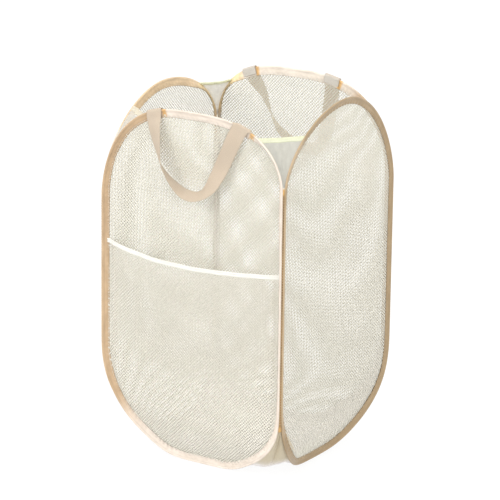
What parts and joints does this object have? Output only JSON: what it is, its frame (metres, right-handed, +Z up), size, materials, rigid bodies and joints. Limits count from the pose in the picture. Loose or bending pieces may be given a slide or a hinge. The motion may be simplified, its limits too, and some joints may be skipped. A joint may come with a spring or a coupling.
{
  "type": "laundry hamper",
  "caption": "Fold-flat laundry hamper of net panels on oblong spring-wire loops, with cloth base, corner gussets, a front net pocket and webbing carry handles.",
  "frame": {"origin": "middle of the object's box, on the plane it stands on", "axes": "+Z up; -Y is the front with the pocket and one handle; +X is the right-hand side seen from the front"},
  "size_m": [0.3642, 0.3997, 0.6226],
  "materials": {
    "binding": "satin folded tape with sewn edge",
    "spring_steel": "drawn spring wire",
    "net": "knitted diamond net",
    "plain_cloth": "thin plain weave",
    "gusset_hem": "folded hem",
    "base_cloth": "thin plain weave, lightly creased",
    "pocket_tape": "folded white tape",
    "webbing": "woven matte webbing"
  },
  "bodies": {
    "front_panel": {"front_edge_binding": "binding", "front_spring_wire": "spring_steel", "front_wire_joiner": "spring_steel", "front_net_panel": "net", "front_right_corner_seam": "binding", "front_left_corner_seam": "binding", "front_right_gusset": "plain_cloth", "front_right_gusset_hem": "gusset_hem", "front_left_gusset": "plain_cloth", "front_left_gusset_hem": "gusset_hem", "base_sheet": "base_cloth", "pocket_net": "net", "pocket_hem": "pocket_tape", "front_handle_sewn_end_left": "webbing", "front_handle_sewn_end_right": "webbing"},
    "right_panel": {"right_edge_binding": "binding", "right_spring_wire": "spring_steel", "right_wire_joiner": "spring_steel", "right_net_panel": "net", "rear_right_corner_seam": "binding", "rear_right_gusset": "plain_cloth", "rear_right_gusset_hem": "gusset_hem"},
    "left_panel": {"left_edge_binding": "binding", "left_spring_wire": "spring_steel", "left_wire_joiner": "spring_steel", "left_net_panel": "net"},
    "rear_panel": {"rear_edge_binding": "binding", "rear_spring_wire": "spring_steel", "rear_wire_joiner": "spring_steel", "rear_net_panel": "net", "rear_left_corner_seam": "binding", "rear_left_gusset": "plain_cloth", "rear_left_gusset_hem": "gusset_hem", "rear_handle_sewn_end_left": "webbing", "rear_handle_sewn_end_right": "webbing"},
    "front_handle": {"front_handle_strap": "webbing"},
    "rear_handle": {"rear_handle_strap": "webbing"}
  },
  "joints": [
    {"name": "fold_right", "type": "hinge", "parent": "front_panel", "child": "right_panel", "pos_m": [0.17399, -0.17047, 0.3], "axis": [0, 0, 1], "range_deg": [0, 48], "stiffness_Nm_per_rad": 0.3, "deforming": ["front_right_gusset", "front_right_gusset_hem", "base_sheet"]},
    {"name": "fold_left", "type": "hinge", "parent": "front_panel", "child": "left_panel", "pos_m": [-0.18051, -0.17047, 0.3], "axis": [0, 0, 1], "range_deg": [0, 48], "deforming": ["front_left_gusset", "front_left_gusset_hem"]},
    {"name": "fold_rear", "type": "hinge", "parent": "right_panel", "child": "rear_panel", "pos_m": [0.17399, 0.17033, 0.3], "axis": [0, 0, 1], "range_deg": [-48, 0], "deforming": ["rear_right_gusset", "rear_right_gusset_hem", "rear_left_gusset", "rear_left_gusset_hem"]},
    {"name": "front_handle_swing", "type": "hinge", "parent": "front_panel", "child": "front_handle", "pos_m": [-0.07646, -0.16957, 0.5965], "axis": [-0.9999, 0, 0.0137], "range_deg": [0, 180]},
    {"name": "rear_handle_swing", "type": "hinge", "parent": "rear_panel", "child": "rear_handle", "pos_m": [-0.10726, 0.16303, 0.5982], "axis": [0.9976, -0.0204, 0.0667], "range_deg": [0, 180]}
  ],
  "couplings": [
    {"joint": "fold_left", "follows": "fold_right", "ratio": 1},
    {"joint": "fold_rear", "follows": "fold_right", "ratio": -1}
  ]
}
